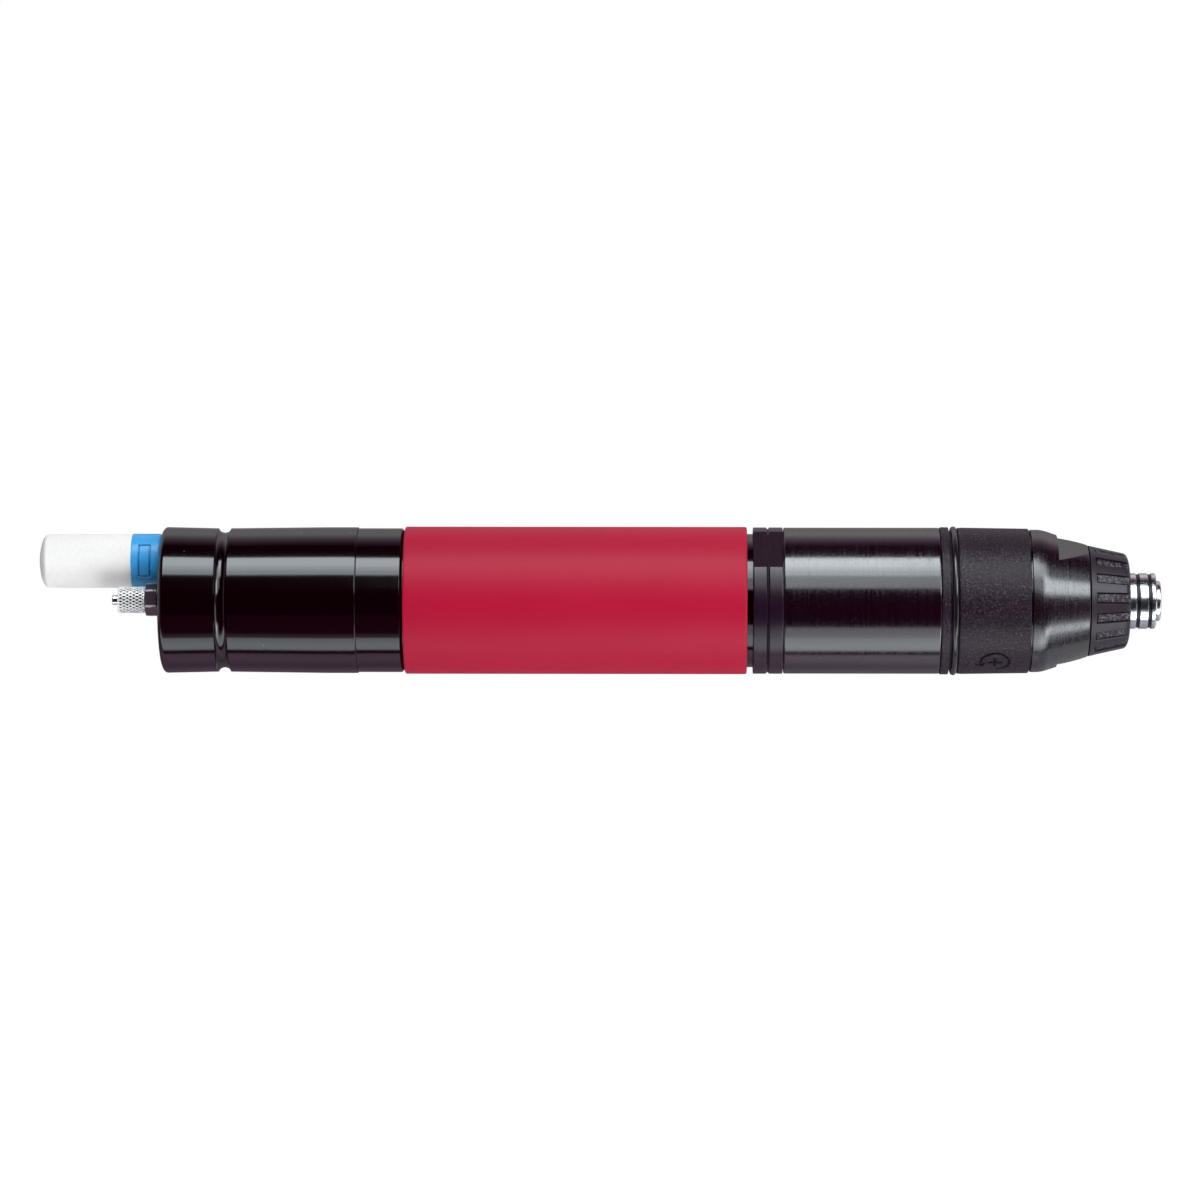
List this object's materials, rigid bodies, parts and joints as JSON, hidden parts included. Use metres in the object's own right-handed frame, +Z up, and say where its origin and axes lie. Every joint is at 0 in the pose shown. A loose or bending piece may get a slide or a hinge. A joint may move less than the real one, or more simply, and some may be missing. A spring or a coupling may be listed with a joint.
{
  "type": "inline pneumatic screwdriver",
  "caption": "Slim inline air screwdriver with a red grip, vane motor, planetary gears, torque clutch under a turning window sleeve, and a quick-change bit chuck.",
  "frame": {"origin": "on the spindle axis, at the mouth of the bit socket", "axes": "+X along the tool towards the bit, +Z up, with the silencer above the axis"},
  "size_m": [0.2764, 0.0366, 0.0366],
  "materials": {
    "silencer_white": "porous, matt",
    "silencer_blue": "moulded, semi-gloss",
    "anodised_black": "turned and black anodised, glossy",
    "satin_black": "turned and blackened, satin",
    "fitting_black": "black anodised",
    "grip_red": "smooth, satin",
    "grained_black": "moulded, fine grain",
    "ribbed_black": "moulded, coarse grain in the recesses",
    "rubber_black": "smooth",
    "bright_steel": "turned and polished",
    "nickel": "nickel plated",
    "inner_steel": "ground",
    "spring_steel": "bright drawn",
    "inner_aluminium": "machined",
    "bronze": "sintered",
    "valve_brass": "turned",
    "vane_fibre": "laminated fibre"
  },
  "bodies": {
    "body": {"rear_head": "anodised_black", "silencer_element": "silencer_white", "silencer_base": "silencer_blue", "fitting_washer": "rubber_black", "fitting_body": "fitting_black", "hose_nipple": "nickel", "inlet_strainer": "valve_brass", "valve_seat": "valve_brass", "valve_spring": "spring_steel", "head_seal": "rubber_black", "motor_housing": "anodised_black", "grip_sleeve": "grip_red", "rear_end_plate": "inner_aluminium", "rear_bearing_outer": "inner_steel", "cylinder_liner": "inner_steel", "front_end_plate": "inner_aluminium", "front_bearing_outer": "inner_steel", "gear_housing": "satin_black", "ring_gear": "inner_steel", "carrier_bush": "bronze", "clutch_housing": "satin_black", "nose_cone": "satin_black", "front_bush": "bronze"},
    "start_rod": {"push_rod": "inner_steel", "valve_plunger": "valve_brass", "valve_seal": "rubber_black"},
    "rotor": {"rotor": "inner_steel", "rotor_vanes": "vane_fibre", "rear_bearing_inner": "inner_steel", "rear_bearing_balls": "inner_steel", "front_bearing_inner": "inner_steel", "front_bearing_balls": "inner_steel"},
    "carrier_1": {"carrier_1": "inner_steel", "carrier_1_pins": "inner_steel"},
    "carrier_2": {"carrier_2": "inner_steel", "carrier_2_pins": "inner_steel"},
    "spindle": {"drive_spindle": "bright_steel", "clutch_hub": "inner_steel", "clutch_balls": "inner_steel", "clutch_plate": "inner_steel", "hub_ring": "spring_steel", "clutch_spring": "spring_steel", "start_spring": "spring_steel", "chuck_body": "bright_steel", "lock_ball": "inner_steel", "chuck_spring": "spring_steel"},
    "thrust_ring": {"thrust_ring": "inner_steel"},
    "torque_nut": {"torque_nut": "valve_brass"},
    "chuck_sleeve": {"chuck_sleeve": "bright_steel"},
    "window_sleeve": {"window_sleeve": "grained_black", "sleeve_ring": "rubber_black"},
    "front_cap": {"front_cap": "ribbed_black"},
    "union_nut": {"knurled_nut": "nickel"},
    "planet_a1": {"planet_a1": "inner_steel"},
    "planet_a2": {"planet_a2": "inner_steel"},
    "planet_a3": {"planet_a3": "inner_steel"},
    "planet_b1": {"planet_b1": "inner_steel"},
    "planet_b2": {"planet_b2": "inner_steel"},
    "planet_b3": {"planet_b3": "inner_steel"}
  },
  "joints": [
    {"name": "push_start", "type": "slide", "parent": "body", "child": "start_rod", "axis": [-1, 0, 0], "range_m": [0, 0.0025], "stiffness_N_per_m": 1500, "springref_m": -0.004, "deforming": ["valve_spring", "start_spring"]},
    {"name": "rotor_spin", "type": "hinge", "parent": "body", "child": "rotor", "pos_m": [-0.145, 0, 0], "axis": [1, 0, 0], "continuous": true},
    {"name": "carrier_1_spin", "type": "hinge", "parent": "body", "child": "carrier_1", "pos_m": [-0.089, 0, 0], "axis": [1, 0, 0], "continuous": true},
    {"name": "carrier_2_spin", "type": "hinge", "parent": "body", "child": "carrier_2", "pos_m": [-0.078, 0, 0], "axis": [1, 0, 0], "continuous": true},
    {"name": "spindle_spin", "type": "hinge", "parent": "start_rod", "child": "spindle", "pos_m": [-0.04, 0, 0], "axis": [1, 0, 0], "continuous": true},
    {"name": "chuck_sleeve_slide", "type": "slide", "parent": "spindle", "child": "chuck_sleeve", "axis": [-1, 0, 0], "range_m": [0, 0.0025], "stiffness_N_per_m": 1200, "springref_m": -0.003, "deforming": ["chuck_spring"]},
    {"name": "thrust_ring_slide", "type": "slide", "parent": "spindle", "child": "thrust_ring", "axis": [1, 0, 0], "range_m": [-0.0025, 0.0025], "deforming": ["clutch_spring"]},
    {"name": "torque_nut_turn", "type": "hinge", "parent": "thrust_ring", "child": "torque_nut", "pos_m": [-0.0431, 0, 0], "axis": [1, 0, 0], "range_deg": [-900, 900]},
    {"name": "window_sleeve_turn", "type": "hinge", "parent": "body", "child": "window_sleeve", "pos_m": [-0.043, 0, 0], "axis": [1, 0, 0], "continuous": true},
    {"name": "front_cap_turn", "type": "hinge", "parent": "body", "child": "front_cap", "pos_m": [-0.013, 0, 0], "axis": [1, 0, 0], "continuous": true},
    {"name": "union_nut_turn", "type": "hinge", "parent": "body", "child": "union_nut", "pos_m": [-0.2527, -0.009, 0], "axis": [1, 0, 0], "continuous": true},
    {"name": "planet_a1_spin", "type": "hinge", "parent": "carrier_1", "child": "planet_a1", "pos_m": [-0.0946, 0, -0.0081], "axis": [1, 0, 0], "continuous": true},
    {"name": "planet_a2_spin", "type": "hinge", "parent": "carrier_1", "child": "planet_a2", "pos_m": [-0.0946, 0.00702, 0.00405], "axis": [1, 0, 0], "continuous": true},
    {"name": "planet_a3_spin", "type": "hinge", "parent": "carrier_1", "child": "planet_a3", "pos_m": [-0.0946, -0.00702, 0.00405], "axis": [1, 0, 0], "continuous": true},
    {"name": "planet_b1_spin", "type": "hinge", "parent": "carrier_2", "child": "planet_b1", "pos_m": [-0.0844, 0, -0.0081], "axis": [1, 0, 0], "continuous": true},
    {"name": "planet_b2_spin", "type": "hinge", "parent": "carrier_2", "child": "planet_b2", "pos_m": [-0.0844, 0.00702, 0.00405], "axis": [1, 0, 0], "continuous": true},
    {"name": "planet_b3_spin", "type": "hinge", "parent": "carrier_2", "child": "planet_b3", "pos_m": [-0.0844, -0.00702, 0.00405], "axis": [1, 0, 0], "continuous": true}
  ],
  "couplings": [
    {"joint": "carrier_1_spin", "follows": "rotor_spin", "ratio": 0.22222},
    {"joint": "carrier_2_spin", "follows": "rotor_spin", "ratio": 0.049383},
    {"joint": "spindle_spin", "follows": "rotor_spin", "ratio": 0.049383},
    {"joint": "thrust_ring_slide", "follows": "torque_nut_turn", "m_per_rad": 0.00015915},
    {"joint": "planet_a1_spin", "follows": "rotor_spin", "ratio": -0.62222},
    {"joint": "planet_a2_spin", "follows": "rotor_spin", "ratio": -0.62222},
    {"joint": "planet_a3_spin", "follows": "rotor_spin", "ratio": -0.62222},
    {"joint": "planet_b1_spin", "follows": "rotor_spin", "ratio": -0.13827},
    {"joint": "planet_b2_spin", "follows": "rotor_spin", "ratio": -0.13827},
    {"joint": "planet_b3_spin", "follows": "rotor_spin", "ratio": -0.13827}
  ]
}
